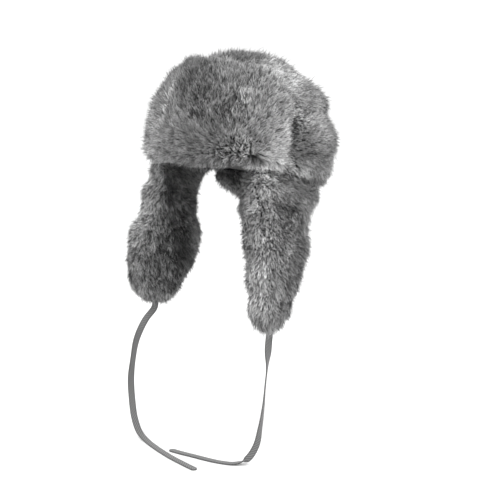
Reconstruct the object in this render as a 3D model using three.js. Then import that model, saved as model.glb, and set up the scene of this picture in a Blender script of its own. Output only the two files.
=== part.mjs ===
// A trooper hat of deep fur, worn: the front flap is turned up, and the ear flaps hang with their ties.
// Millimetres, +Z up. The wearer faces -Y and has +X on the left.
// The origin is the inside top of the crown, where a head carries the hat.
import * as THREE from "three";
import { mergeVertices } from "three/addons/utils/BufferGeometryUtils.js";

// Driving dimensions
const BACKWARD_TILT = THREE.MathUtils.degToRad(14);
const RIM_DEPTH = 114;
const HEAD_HALF_WIDTH = 80;
const HEAD_FRONT = 98;
const HEAD_BACK = 100;
const SHELL_WALL = 2.5;
const SEAM_GAP = 0.3;
const LAY_GAP = 1.5;
const LOCK_DEPTH = 6;
const FLAP_END_ANGLE = THREE.MathUtils.degToRad(72);
const FLAP_CORNER_ANGLE = THREE.MathUtils.degToRad(38);
const FLAP_CORNER_DEPTH = 78;
const FLAP_FOLD_DROP = 12;
const FLAP_PEAK_ANGLE = THREE.MathUtils.degToRad(-40);
const FLAP_PEAK_WIDTH = THREE.MathUtils.degToRad(16);
const FLAP_PEAK_HEIGHT = 6;
const FLAP_FLATTER = 3;
const FLAP_FLATTER_WIDTH = THREE.MathUtils.degToRad(26);
const FLAP_FLATTER_FROM = -108;
const FLAP_FLATTER_BY = -84;
const NECK_START_ANGLE = THREE.MathUtils.degToRad(120);
const NECK_DROP = 54;
const EAR_LEFT_TOE_SHARE = 0.5;
const EAR_RIGHT_SPREAD = 8;
const EAR_RIGHT_SHOULDER = 7;
const EAR_RIGHT_TUCK = 0.3;
const EAR_RIGHT_BOW = 6;
const EAR_RIGHT_SET_BACK = 5;
const EAR_RIGHT_SHORTER = 4;
const EAR_RIGHT_TAPER = 0.11;
const TIE_WIDTH = 10;
const TIE_THICKNESS = 2;

// The front flap's foot and fold
const FOOT_END_ANGLE = 0.4;
const FOOT_GONE_ANGLE = 0.52;
const OVER_EARS_ANGLE = 0.66;
const EAR_TOP_CLEARANCE = 0.7;
const FOOT_REACH = 6;
const FOOT_WIDTH = 3;
const FOOT_DEPTH = 6;
const FLAP_RADIUS = 150;
const FLAP_END_ROUNDING = 8;
const FLAP_END_THICKNESS = 0.4;

// Where the crown's fur comes out from behind the front flap: angles past the flap's end, and heights
const UNTUCKED_FROM = 0.04;
const UNTUCKED_BY = 0.3;
const TUCKED_BELOW = 22;
const FREE_ABOVE = 44;
const LIP_HANGS_FROM = 0.2;
const LIP_HANGS_BY = 0.45;
const LIP_INSET = 3;

const EAR_CORNER_POWER = 0.72;
const EAR_FACES_APART = 300;

// Heights between which each of the right flap's own bends grows, and those between which it fades
const EAR_RIGHT_BENDS = {
  shoulder: { from: -114.5, full: -121, fades: -134, ends: -150 },
  tuck: { from: -124, full: -142, fades: -200, ends: -236 },
  bow: { from: -165, full: -215, fades: -248, ends: -292 },
};

const NECK_END_SHARE = 0.04;
const NECK_LOCK_INSET = 2;

// Numbers of faces
const CROWN_SIDES = 56;
const SHELL_SIDES = 36;
const TIE_SIDES = 8;
const ROWS_PER_SECTION = 2;
const LOCK_ROWS = 3;
const FLAP_STEPS = 44;
const NECK_STEPS = 22;
const EAR_SIDES = 26;
const TIE_STEPS = 40;

// Outer form of the crown's fur, from near its top down to its lower lip.
// side is the half width, and tucked the same where the front flap presses on it.
// front and back are the reaches from the head's axis.
const CROWN_FORM = [
  { z: 47, side: 32, tucked: 32, front: 34, back: 34 },
  { z: 41, side: 55, tucked: 55, front: 58, back: 48 },
  { z: 28, side: 77, tucked: 75, front: 70, back: 78 },
  { z: 10, side: 95, tucked: 87, front: 82, back: 109 },
  { z: -8, side: 105, tucked: 93, front: 92, back: 120 },
  { z: -22, side: 106, tucked: 97, front: 98, back: 120 },
  { z: -42, side: 121, tucked: 99, front: 104, back: 136 },
  { z: -66, side: 130, tucked: 100, front: 108, back: 145 },
  { z: -92, side: 129, tucked: 101, front: 111, back: 143 },
  { z: -112, side: 124, tucked: 101, front: 112, back: 138 },
  { z: -122, side: 115, tucked: 99, front: 110, back: 129 },
];

// Hollow for the head, from near its top down to the rim, as shares of its size at the rim.
// The shell's top panel and its side panels meet at the row SHELL_SEAM_ROW.
const SHELL_SEAM_ROW = 2;
const HEAD_FORM = [
  { depth: 0.02, share: 0.3 },
  { depth: 0.1, share: 0.58 },
  { depth: 0.28, share: 0.84 },
  { depth: 0.55, share: 0.97 },
  { depth: 1, share: 1 },
];

// Turned-up front flap, from its lower edge up: how far it stands out of the crown's front.
// lean moves its inner face off the crown, and thick is the depth of its fur.
const FRONT_FORM = [
  { z: -126, lean: 0, thick: 16 },
  { z: -117, lean: 0, thick: 26 },
  { z: -96, lean: 0, thick: 31 },
  { z: -66, lean: 0, thick: 32 },
  { z: -36, lean: 0, thick: 31 },
  { z: -8, lean: 1, thick: 28 },
  { z: 13, lean: 4, thick: 22 },
  { z: 26, lean: 8, thick: 12 },
];

// Ear flap on the wearer's left, from the seam at the rim down to its tip.
// x and y place the middle of each section. width runs front to back, thick from face to face.
// toe turns the front edge outward, and bend bows the section round the head.
const EAR_FORM = [
  { z: -114.3, x: 96, y: -16, width: 124, thick: 20, toe: -4, bend: 12 },
  { z: -123.5, x: 96.5, y: -17, width: 128, thick: 20, toe: -5, bend: 12 },
  { z: -132, x: 101, y: -20, width: 134, thick: 36, toe: -10, bend: 9 },
  { z: -148, x: 103.5, y: -25, width: 138, thick: 48, toe: -13, bend: 6 },
  { z: -176, x: 102.5, y: -30, width: 131, thick: 54, toe: -7, bend: 4 },
  { z: -210, x: 104, y: -28, width: 129, thick: 57, toe: 4, bend: 2 },
  { z: -244, x: 106, y: -24, width: 124, thick: 56, toe: 12, bend: 0 },
  { z: -276, x: 105, y: -19, width: 107, thick: 50, toe: 17, bend: 0 },
  { z: -304, x: 105, y: -13, width: 90, thick: 44, toe: 19, bend: 0 },
  { z: -322, x: 104, y: -9, width: 73, thick: 37, toe: 20, bend: 0 },
  { z: -333, x: 104, y: -7, width: 46, thick: 24, toe: 20, bend: 0 },
];

// Neck flap at the back, from the seam at the rim down, as shares of its drop.
const NECK_FORM = [
  { drop: 0.0, inner: 1, outer: 21 },
  { drop: 0.2, inner: 1, outer: 21 },
  { drop: 0.5, inner: -2, outer: 32 },
  { drop: 0.85, inner: 0, outer: 31 },
  { drop: 1.0, inner: 8, outer: 20 },
];

// Routes of the two ties, hand-laid: down from the flaps' tips, then along the surface under them.
// turn is the heading of the flat tie's width.
const TIE_LEFT_ROUTE = [
  { x: 104, y: -87.4, z: -321.7, turn: 20 },
  { x: 104, y: -89.8, z: -331.4, turn: 20 },
  { x: 104, y: -92, z: -346, turn: 35 },
  { x: 103, y: -93, z: -375, turn: 110 },
  { x: 101, y: -95, z: -405, turn: 120 },
  { x: 100, y: -98, z: -435, turn: 110 },
  { x: 99, y: -104, z: -465, turn: 90 },
  { x: 98, y: -112, z: -490, turn: 60 },
  { x: 92, y: -124, z: -507, turn: 50 },
  { x: 80, y: -136, z: -513, turn: 120 },
  { x: 60, y: -144, z: -514, turn: 100 },
  { x: 36, y: -148, z: -514, turn: 95 },
  { x: 22, y: -149, z: -514, turn: 92 },
  { x: 10, y: -150, z: -514, turn: 90 },
  { x: -14, y: -152, z: -514, turn: 90 },
  { x: -29, y: -152, z: -514, turn: 90 },
];
const TIE_RIGHT_ROUTE = [
  { x: -112, y: -86.4, z: -317.8, turn: 20 },
  { x: -112.4, y: -88.9, z: -327.5, turn: 20 },
  { x: -122, y: -99, z: -346, turn: 22 },
  { x: -131, y: -109, z: -375, turn: 60 },
  { x: -134.5, y: -114, z: -405, turn: 80 },
  { x: -134, y: -120, z: -435, turn: 60 },
  { x: -127, y: -126, z: -465, turn: 40 },
  { x: -116, y: -133, z: -490, turn: 40 },
  { x: -100, y: -140, z: -507, turn: 60 },
  { x: -80, y: -147, z: -513, turn: 70 },
  { x: -58, y: -156, z: -514, turn: 70 },
  { x: -34, y: -165, z: -514, turn: 70 },
  { x: -22, y: -169, z: -514, turn: 70 },
  { x: -10, y: -173, z: -514, turn: 70 },
  { x: 18, y: -180, z: -514, turn: 70 },
  { x: 49, y: -187, z: -514, turn: 70 },
];

const rad = THREE.MathUtils.degToRad;
const smooth = THREE.MathUtils.smoothstep;
const mix = THREE.MathUtils.lerp;

// A row of a table at a fractional place along it, every column on a smooth curve through the rows.
function rowAt(table, place) {
  const last = table.length - 1;
  const index = Math.min(Math.floor(place), last - 1);
  const part = place - index;
  const rows = [-1, 0, 1, 2].map((step) => table[Math.min(Math.max(index + step, 0), last)]);
  const result = {};
  for (const column of Object.keys(table[0])) {
    const [a, b, c, d] = rows.map((row) => row[column]);
    const slopeIn = (c - a) / 2;
    const slopeOut = (d - b) / 2;
    const square = part * part;
    const cube = square * part;
    result[column] = (2 * cube - 3 * square + 1) * b + (cube - 2 * square + part) * slopeIn
      + (3 * square - 2 * cube) * c + (cube - square) * slopeOut;
  }
  return result;
}

function rowsOf(table, perSection) {
  const count = (table.length - 1) * perSection;
  return Array.from({ length: count + 1 }, (_, step) => rowAt(table, step / perSection));
}

// The table's row at a height, between its densely sampled rows.
function rowAtHeight(rows, z) {
  const below = rows.findIndex((row) => row.z <= z);
  if (below <= 0) return rows[below === 0 ? 0 : rows.length - 1];
  const upper = rows[below - 1];
  const lower = rows[below];
  const part = (upper.z - z) / (upper.z - lower.z);
  const result = {};
  for (const column of Object.keys(upper)) result[column] = mix(upper[column], lower[column], part);
  return result;
}

// Height of the overlapping locks over the skin, two faces wide and LOCK_ROWS long.
// Each lock rises towards its tip and drops to the root of the next, which is half a lock aside.
// LOCK_VARIETY makes some locks fuller than others, and ROOT_SHARE is what a ridge keeps at its root.
const LOCK_VARIETY = 0.2;
const ROOT_SHARE = 0.25;
const VALLEY_SHARE = 0.4;
function lockRelief(side, row) {
  const lock = Math.floor(row / LOCK_ROWS);
  const rise = (row - lock * LOCK_ROWS) / (LOCK_ROWS - 1);
  const ridge = (side + lock) % 2;
  const fullness = 1 - LOCK_VARIETY + LOCK_VARIETY * Math.sin(2.3 * Math.floor(side / 2) + 4.1 * lock);
  const risen = (1 - ROOT_SHARE) * rise * mix(VALLEY_SHARE, 1, ridge);
  return LOCK_DEPTH * fullness * (ROOT_SHARE * ridge + risen);
}

// Broad unevenness of the fur: waves of a height, with a length across and down, and a phase.
const SWELL_WAVES = [
  { height: 1.6, across: 31, down: 47, phase: 0.6 },
  { height: 1.4, across: 53, down: -22, phase: 2.1 },
];
function swell(across, down) {
  return SWELL_WAVES.reduce((sum, wave) => (
    sum + wave.height * Math.sin(across / wave.across + down / wave.down + wave.phase)
  ), 0);
}

// Rings of equal length joined into one closed body, with a flat lid at each end.
function closedLoft(rings) {
  const sides = rings[0].length;
  const positions = [];
  const indices = [];
  for (const ring of rings) for (const point of ring) positions.push(point.x, point.y, point.z);
  for (let row = 0; row + 1 < rings.length; row++) {
    for (let side = 0; side < sides; side++) {
      const next = (side + 1) % sides;
      const a = row * sides + side;
      const b = row * sides + next;
      const c = a + sides;
      const d = b + sides;
      indices.push(a, c, b, b, c, d);
    }
  }
  const addLid = (ring, base, flip) => {
    const middle = new THREE.Vector3();
    ring.forEach((point) => middle.add(point));
    middle.divideScalar(sides);
    const centre = positions.length / 3;
    positions.push(middle.x, middle.y, middle.z);
    for (let side = 0; side < sides; side++) {
      const next = (side + 1) % sides;
      if (flip) indices.push(centre, base + next, base + side);
      else indices.push(centre, base + side, base + next);
    }
  };
  addLid(rings[0], 0, false);
  addLid(rings[rings.length - 1], (rings.length - 1) * sides, true);
  const geometry = new THREE.BufferGeometry();
  geometry.setAttribute("position", new THREE.Float32BufferAttribute(positions, 3));
  geometry.setIndex(indices);
  return mergeVertices(geometry, 1e-4);
}

// A point on an egg-shaped plan. The angle is 0 at the front and grows towards the wearer's left.
function planPoint(angle, side, front, back, z) {
  const forward = Math.cos(angle);
  return new THREE.Vector3(side * Math.sin(angle), -(forward > 0 ? front : back) * forward, z);
}

function outward(angle) {
  return new THREE.Vector3(Math.sin(angle), -Math.cos(angle), 0);
}

const crownRows = rowsOf(CROWN_FORM, ROWS_PER_SECTION);

// A point that lies a little way off the head's hollow, on one of its rows.
function hollowPoint(row, off, angle) {
  const z = -RIM_DEPTH * row.depth + off * (1 - row.depth);
  return planPoint(angle, HEAD_HALF_WIDTH * row.share + off, HEAD_FRONT * row.share + off,
    HEAD_BACK * row.share + off, z);
}

function hollowRing(row, off, count) {
  return Array.from({ length: count }, (_, side) => hollowPoint(row, off, (2 * Math.PI * side) / count));
}

// Plain wall round the head, open below: a domed top panel, and under it a panel on each side.
function shellTop() {
  const rows = rowsOf(HEAD_FORM.slice(0, SHELL_SEAM_ROW + 1), ROWS_PER_SECTION);
  const outside = rows.map((row) => hollowRing(row, SHELL_WALL, SHELL_SIDES));
  const inside = rows.map((row) => hollowRing(row, 0, SHELL_SIDES)).reverse();
  return closedLoft([...outside, ...inside]);
}

function shellSide(startAngle) {
  const rows = rowsOf(HEAD_FORM.slice(SHELL_SEAM_ROW), ROWS_PER_SECTION);
  rows[0].depth += SEAM_GAP / RIM_DEPTH;
  const seam = SEAM_GAP / 2 / HEAD_FRONT;
  const steps = SHELL_SIDES / 2;
  const sections = [];
  for (let step = 0; step <= steps; step++) {
    const angle = startAngle + mix(seam, Math.PI - seam, step / steps);
    const inner = rows.map((row) => hollowPoint(row, 0, angle));
    const outer = rows.map((row) => hollowPoint(row, SHELL_WALL, angle)).reverse();
    sections.push([...inner, ...outer]);
  }
  return closedLoft(sections);
}

// How far round from the front an angle lies, on either side.
function turnedFromFront(angle) {
  return Math.abs(angle > Math.PI ? angle - 2 * Math.PI : angle);
}

// How far a place on the crown lies under the front flap, from 0 to 1.
function tuckedShare(angle, z) {
  const clearOfEnd = smooth(turnedFromFront(angle) - FLAP_END_ANGLE, UNTUCKED_FROM, UNTUCKED_BY);
  return (1 - clearOfEnd) * (1 - smooth(z, TUCKED_BELOW, FREE_ABOVE));
}

// A point on the crown's fur without its locks.
function crownPoint(angle, row, z) {
  const side = mix(row.side, row.tucked, tuckedShare(angle, z));
  return planPoint(angle, side, row.front, row.back, z);
}

// Fur round the shell: a domed top, a groove, and a full band whose lip hangs over the flaps.
function crownFur() {
  const angles = Array.from({ length: CROWN_SIDES }, (_, side) => (2 * Math.PI * side) / CROWN_SIDES);
  const outside = crownRows.map((row, index) => angles.map((angle, side) => {
    const under = tuckedShare(angle, row.z);
    const girth = (row.side + row.front) / 2;
    const relief = lockRelief(side, index) + swell(angle * girth, row.z);
    const hanging = smooth(turnedFromFront(angle) - FLAP_END_ANGLE, LIP_HANGS_FROM, LIP_HANGS_BY);
    const z = mix(Math.max(row.z, -RIM_DEPTH), row.z, hanging);
    const shown = (1 - under) * smooth(index, 0, 3);
    return crownPoint(angle, row, z).addScaledVector(outward(angle), relief * shown);
  }));
  const lip = crownRows[crownRows.length - 1];
  const underside = angles.map((angle) => crownPoint(angle, lip, -RIM_DEPTH).addScaledVector(outward(angle), -LIP_INSET));
  const inside = rowsOf(HEAD_FORM, ROWS_PER_SECTION).reverse().map((row) => (
    hollowRing(row, SHELL_WALL + LAY_GAP, CROWN_SIDES)
  ));
  return closedLoft([...outside, underside, ...inside]);
}

// Front flap: a curved pad that folds up from the rim. Between the ear flaps its foot
// reaches in under the crown's edge, and past them its lower edge lies over their tops.
function frontFlap() {
  const rows = rowsOf(FRONT_FORM, ROWS_PER_SECTION);
  const seam = -RIM_DEPTH - SEAM_GAP;
  const foldLow = -RIM_DEPTH - FLAP_FOLD_DROP;
  const overEar = -RIM_DEPTH + EAR_TOP_CLEARANCE;
  const sections = [];
  for (let step = 0; step <= FLAP_STEPS; step++) {
    const angle = mix(-FLAP_END_ANGLE, FLAP_END_ANGLE, step / FLAP_STEPS);
    const turned = Math.abs(angle);
    const footOut = smooth(turned, FOOT_END_ANGLE, FOOT_GONE_ANGLE);
    const lift = smooth(turned, FOOT_GONE_ANGLE, OVER_EARS_ANGLE);
    const toEnd = 1 - turned / FLAP_END_ANGLE;
    const roundEnd = Math.sqrt(THREE.MathUtils.clamp(toEnd * FLAP_END_ROUNDING, 0.04, 1));
    const out = outward(angle);
    const toCorner = Math.max(0, (turned - FLAP_CORNER_ANGLE) / (FLAP_END_ANGLE - FLAP_CORNER_ANGLE));
    const corner = FLAP_CORNER_DEPTH * (1 - Math.sqrt(1.03 - toCorner * toCorner));
    const fromPeak = (angle - FLAP_PEAK_ANGLE) / FLAP_PEAK_WIDTH;
    const raised = FLAP_PEAK_HEIGHT * Math.exp(-fromPeak * fromPeak) - corner;
    const fromFlat = (angle - FLAP_PEAK_ANGLE) / FLAP_FLATTER_WIDTH;
    const flatter = FLAP_FLATTER * Math.exp(-fromFlat * fromFlat);
    const lowest = mix(foldLow, overEar, lift);
    const heightOf = (z) => Math.max(z + raised * smooth(z, -RIM_DEPTH, rows[rows.length - 1].z), lowest);
    const onCrown = (z) => crownPoint(angle, rowAtHeight(crownRows, Math.max(z, -RIM_DEPTH)), z);
    const outer = rows.map((row, index) => {
      const unevenness = lockRelief(step, index) + swell(angle * FLAP_RADIUS, row.z);
      const relief = unevenness * smooth(index, 0, 2) * roundEnd;
      const full = row.thick - flatter * smooth(row.z, FLAP_FLATTER_FROM, FLAP_FLATTER_BY);
      const depth = full * mix(FLAP_END_THICKNESS, 1, roundEnd) + relief;
      return onCrown(heightOf(row.z)).addScaledVector(out, LAY_GAP + row.lean + depth);
    });
    const inner = rows.filter((row) => row.z > -RIM_DEPTH + 4).map((row) => (
      onCrown(heightOf(row.z)).addScaledVector(out, LAY_GAP + row.lean)
    )).reverse();
    const underShell = (reach, z) => (
      planPoint(angle, HEAD_HALF_WIDTH + reach, HEAD_FRONT + reach, HEAD_BACK + reach, z)
    );
    const atLip = (z, reach) => onCrown(mix(z, overEar, lift)).addScaledVector(out, LAY_GAP + reach);
    const fold = onCrown(mix(seam, overEar + SEAM_GAP, lift)).addScaledVector(out, LAY_GAP);
    const footHigh = underShell(FOOT_REACH, seam).lerp(atLip(seam, FOOT_WIDTH), footOut);
    const footLow = underShell(FOOT_REACH + FOOT_WIDTH, seam - FOOT_DEPTH)
      .lerp(atLip(seam - FOOT_DEPTH, 2 * FOOT_WIDTH), footOut);
    sections.push([...outer, ...inner, fold, footHigh, footLow]);
  }
  return closedLoft(sections);
}

// A sine or cosine pushed outward, for a section between a round and a square.
function squared(share) {
  return Math.sign(share) * Math.abs(share) ** EAR_CORNER_POWER;
}

// Ear flap as it hangs on the left: a thick pad with fur on both faces.
// outwardToe is the share of each section's outward toe that the flap has.
function earFlap(outwardToe) {
  const rings = rowsOf(EAR_FORM, ROWS_PER_SECTION).map((row, index) => {
    const ring = [];
    const turn = rad(row.toe > 0 ? row.toe * outwardToe : row.toe);
    for (let side = 0; side < EAR_SIDES; side++) {
      const angle = (2 * Math.PI * side) / EAR_SIDES;
      const lengthways = -squared(Math.cos(angle));
      const sideways = squared(Math.sin(angle));
      const depth = smooth(index, 2, 5);
      const across = (lengthways * row.width) / 2 + (sideways > 0 ? 0 : EAR_FACES_APART);
      const relief = (lockRelief(side, index) - LOCK_DEPTH / 2 + swell(across, row.z)) * depth;
      const y = lengthways * (row.width / 2 + relief);
      const x = sideways * (row.thick / 2 + relief) - row.bend * lengthways * lengthways;
      ring.push(new THREE.Vector3(
        row.x + x * Math.cos(turn) - y * Math.sin(turn),
        row.y + x * Math.sin(turn) + y * Math.cos(turn),
        row.z,
      ));
    }
    return ring;
  });
  return closedLoft(rings);
}

// How far a bend of the right flap has grown at a height, from 0 to 1.
function bendShare(bend, z) {
  return smooth(-z, -bend.from, -bend.full) * (1 - smooth(-z, -bend.fades, -bend.ends));
}

// The flap of the other side. It has a shoulder under the front flap, a front edge drawn back
// below that, a middle bowed in towards the neck, and a shorter, slimmer tip that hangs out from the head.
function rightEarFlap() {
  const copy = earFlap(1);
  const points = copy.getAttribute("position");
  const reach = EAR_FORM[EAR_FORM.length - 1].z - EAR_FORM[0].z;
  const rows = rowsOf(EAR_FORM, ROWS_PER_SECTION);
  for (let point = 0; point < points.count; point++) {
    const z = points.getZ(point);
    const down = Math.max(0, (z - EAR_FORM[0].z) / reach);
    const shoulder = EAR_RIGHT_SHOULDER * bendShare(EAR_RIGHT_BENDS.shoulder, z);
    const tuck = EAR_RIGHT_TUCK * bendShare(EAR_RIGHT_BENDS.tuck, z);
    const bow = bendShare(EAR_RIGHT_BENDS.bow, z);
    const row = rowAtHeight(rows, z);
    const taper = EAR_RIGHT_TAPER * down ** 3;
    const forward = Math.min(0, points.getY(point) - row.y);
    const outside = Math.max(0, (points.getX(point) - row.x) / row.thick + 0.5);
    const out = EAR_RIGHT_SPREAD * down - EAR_RIGHT_BOW * bow + shoulder * Math.min(1, outside);
    points.setX(point, -points.getX(point) - out);
    const y = mix(points.getY(point), row.y, taper) - forward * (tuck - (2 * shoulder) / row.width);
    points.setY(point, y + EAR_RIGHT_SET_BACK * bow);
    points.setZ(point, z + EAR_RIGHT_SHORTER * down * down);
  }
  const index = copy.getIndex();
  for (let face = 0; face < index.count; face += 3) {
    const first = index.getX(face);
    index.setX(face, index.getX(face + 1));
    index.setX(face + 1, first);
  }
  return copy;
}

// Neck flap: a short curved pad across the back of the head.
function neckFlap() {
  const rows = rowsOf(NECK_FORM, ROWS_PER_SECTION);
  const sections = [];
  for (let step = 0; step <= NECK_STEPS; step++) {
    const share = step / NECK_STEPS;
    const angle = mix(NECK_START_ANGLE, 2 * Math.PI - NECK_START_ANGLE, share);
    const roundEnd = Math.sqrt(Math.sin(Math.PI * mix(NECK_END_SHARE, 1 - NECK_END_SHARE, share)));
    const out = outward(angle);
    const place = (row, reach) => {
      const z = -RIM_DEPTH - SEAM_GAP - NECK_DROP * row.drop * roundEnd;
      return planPoint(angle, HEAD_HALF_WIDTH, HEAD_FRONT, HEAD_BACK, z).addScaledVector(out, reach);
    };
    const outer = rows.map((row, index) => {
      const relief = (lockRelief(step, index) - NECK_LOCK_INSET) * smooth(row.drop, 0.25, 0.5);
      return place(row, row.outer + relief);
    }).reverse();
    const inner = rows.map((row) => place(row, row.inner));
    sections.push([...inner, ...outer]);
  }
  return closedLoft(sections);
}

// A smooth route whose frames keep the flat tie's width on its table's heading.
class TieRoute extends THREE.CatmullRomCurve3 {
  constructor(table) {
    super(table.map((row) => new THREE.Vector3(row.x, row.y, row.z)));
    this.table = table;
  }

  computeFrenetFrames(steps) {
    const frames = { tangents: [], normals: [], binormals: [] };
    for (let step = 0; step <= steps; step++) {
      const tangent = this.getTangentAt(step / steps);
      const place = this.getUtoTmapping(step / steps) * (this.table.length - 1);
      const turn = rad(rowAt(this.table, place).turn);
      const width = new THREE.Vector3(Math.cos(turn), Math.sin(turn), 0);
      width.addScaledVector(tangent, -width.dot(tangent)).normalize();
      frames.tangents.push(tangent);
      frames.binormals.push(width);
      frames.normals.push(new THREE.Vector3().crossVectors(width, tangent));
    }
    return frames;
  }
}

function tie(table) {
  const section = new THREE.Shape();
  const toCorner = 1 / Math.cos(Math.PI / TIE_SIDES);
  for (let side = 0; side < TIE_SIDES; side++) {
    const angle = (2 * Math.PI * (side + 0.5)) / TIE_SIDES;
    const x = (TIE_THICKNESS / 2) * Math.cos(angle) * toCorner;
    const y = (TIE_WIDTH / 2) * Math.sin(angle) * toCorner;
    if (side === 0) section.moveTo(x, y);
    else section.lineTo(x, y);
  }
  section.closePath();
  return new THREE.ExtrudeGeometry(section, { steps: TIE_STEPS, extrudePath: new TieRoute(table) });
}

function piece(name, geometry, colour, roughness) {
  const material = new THREE.MeshStandardMaterial({ color: colour, roughness, metalness: 0 });
  const mesh = new THREE.Mesh(geometry, material);
  mesh.name = name;
  return mesh;
}

const FUR_GREY = 0x6f6d6a;
const LEATHER_GREY = 0x8b8985;
const TIE_GREY = 0x6b6a69;

const hat = new THREE.Group();
hat.rotation.x = -BACKWARD_TILT;
hat.add(piece("crown_shell_left", shellSide(0), LEATHER_GREY, 0.8));
hat.add(piece("crown_shell_right", shellSide(Math.PI), LEATHER_GREY, 0.8));
hat.add(piece("crown_shell_top", shellTop(), LEATHER_GREY, 0.8));
hat.add(piece("crown_fur", crownFur(), FUR_GREY, 0.95));
hat.add(piece("front_flap", frontFlap(), FUR_GREY, 0.95));
hat.add(piece("ear_flap_left", earFlap(EAR_LEFT_TOE_SHARE), FUR_GREY, 0.95));
hat.add(piece("ear_flap_right", rightEarFlap(), FUR_GREY, 0.95));
hat.add(piece("neck_flap", neckFlap(), FUR_GREY, 0.95));

const trooperHat = new THREE.Group();
trooperHat.add(hat);
trooperHat.add(piece("tie_left", tie(TIE_LEFT_ROUTE), TIE_GREY, 0.7));
trooperHat.add(piece("tie_right", tie(TIE_RIGHT_ROUTE), TIE_GREY, 0.7));

export default trooperHat;
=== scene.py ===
"""Looks of a trooper hat: hides and locks of fur, the shell inside, two flat ties and a plain studio."""
import math

import bmesh
import bpy
import numpy as np
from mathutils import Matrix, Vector
from mathutils.bvhtree import BVHTree
from mathutils.kdtree import KDTree
from numpy.linalg import norm


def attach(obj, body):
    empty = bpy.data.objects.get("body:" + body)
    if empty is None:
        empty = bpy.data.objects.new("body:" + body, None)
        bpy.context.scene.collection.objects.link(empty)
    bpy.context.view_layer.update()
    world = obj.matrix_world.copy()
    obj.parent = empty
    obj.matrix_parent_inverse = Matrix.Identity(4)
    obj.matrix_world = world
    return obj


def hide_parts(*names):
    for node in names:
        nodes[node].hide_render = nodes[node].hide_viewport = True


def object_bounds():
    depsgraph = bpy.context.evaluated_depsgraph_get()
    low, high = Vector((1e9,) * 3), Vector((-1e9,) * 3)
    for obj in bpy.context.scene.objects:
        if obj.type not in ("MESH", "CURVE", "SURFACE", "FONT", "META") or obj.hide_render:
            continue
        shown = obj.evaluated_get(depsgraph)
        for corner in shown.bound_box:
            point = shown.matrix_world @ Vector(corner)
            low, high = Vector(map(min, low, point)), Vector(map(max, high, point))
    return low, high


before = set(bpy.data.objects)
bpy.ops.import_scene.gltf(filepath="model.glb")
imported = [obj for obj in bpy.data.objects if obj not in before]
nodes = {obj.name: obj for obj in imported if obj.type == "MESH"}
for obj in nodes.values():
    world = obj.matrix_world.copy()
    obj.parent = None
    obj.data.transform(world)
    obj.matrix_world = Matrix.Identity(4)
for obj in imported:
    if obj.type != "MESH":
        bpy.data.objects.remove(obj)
cad_low, cad_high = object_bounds()
scene = bpy.context.scene

# The hat is worn tipped back by this angle, about the X axis
BACKWARD_TILT = math.radians(14)

# Camera, at the photograph's angle to the hat
CAMERA_AZIMUTH = math.radians(38)
CAMERA_ELEVATION = math.radians(12)
CAMERA_DISTANCE = 1.8
METRES_PER_PIXEL = 0.00145
IMAGE_PIXELS = 480
ORIGIN_PIXEL = (250, 89)
SENSOR_WIDTH = 36
FARTHEST_SEEN = 100

# Studio. Each light has its place to the camera's right, towards the camera and up, its power and its size
FLOOR_RADIUS = 30
FLOOR_SIDES = 64
FLOOR_GREY = 0.87
WORLD_BRIGHTNESS = 1.1
EXPOSURE = 0.1
LIGHTS = {"key": (-1.3, 0.2, 1.7, 26, 0.9), "side": (1.6, 1.0, 0.7, 10, 0.8)}
LIGHTS_AIM = Vector((0, 0, -0.15))

# Greys of a hair from its root to its tip: share of the way, grey
# The dark roots are partly the fur's slate undercolour and partly painted shade deep in the coat
PALE_HAIR = [(0.0, 0.03), (0.3, 0.09), (0.6, 0.27), (0.85, 0.44), (1.0, 0.55)]
SILKY_HAIR = [(0.0, 0.03), (0.25, 0.15), (0.6, 0.34), (0.85, 0.43), (1.0, 0.48)]
DARK_HAIR = [(0.0, 0.03), (0.35, 0.08), (0.55, 0.11), (0.8, 0.04), (1.0, 0.02)]

# Ticking: how silky the hair is by its strength, the share of dark hairs and what its strength adds to it,
# how softly they set in, and how far the hairs of a lock go together
SILKY_BY_TICKING = [(0.1, 1.0), (0.5, 0.0)]
DARK_SHARE = 0.29
DARK_SHARE_BY_TICKING = 0.12
DARK_EDGE = 0.08
DARK_BY_LOCK = 0.65

# How much the coat's tone varies by broad patches, by locks and by tufts, and the patches' scale
PATCH_CONTRAST = 0.9
LOCK_CONTRAST = 0.8
TUFT_CONTRAST = 0.5
PATCH_SCALE = 28.0

# How fine the other textures are: the hide's grain, the suede's nap and brushing, and the tape's fibres
HIDE_GRAIN_SCALE = 900.0
NAP_SCALE = 1400.0
BRUSHED_SCALE = 35.0
FIBRE_SCALE = 1500.0

# Skin and hide, in metres: the fur is shallower where a piece is thin, and at a seam
SKIN_VOXEL = 0.004
SKIN_SOFTENING = 5
OFF_SURFACE = 0.0005
THICKEST = 0.08
FUR_DEPTH = 0.0095
THIN_SHARE = 0.36
DEPTH_SMOOTHING = 6
SEAM_DEPTH = 0.001
SEAM_NEAR = 0.002
SEAM_FAR = 0.010

# Locks, in metres: their number for each square metre, and how they spread, reach, rise and hang
LOCKS_PER_AREA = 380000
LOCK_CELL = math.sqrt(1.5 / LOCKS_PER_AREA)
TRIES_PER_LOCK = 5
COVER_REACH = 0.0025
HAIR_LENGTH = 0.012
LENGTH_SCATTER = 0.1
SHORTEST_SHARE = 0.55
REACH_SHARE = 0.92
STANDING_PROUD = 0.0005
LOCK_HEIGHT = 0.0008
FREE_SHARE = 0.3
HANGING_SHARE = 0.7
HANGING_FROM = 0.2

# Tufts: how far apart their middles lie, in metres, and how far the locks about them draw together
TUFT_SPACING = 0.0055
TUFT_REACH = 1.5 * TUFT_SPACING
TUFT_PULL = 0.3
TUFT_PULL_SPREAD = 1.3
TUFT_LOOSENESS = 0.25

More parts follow.
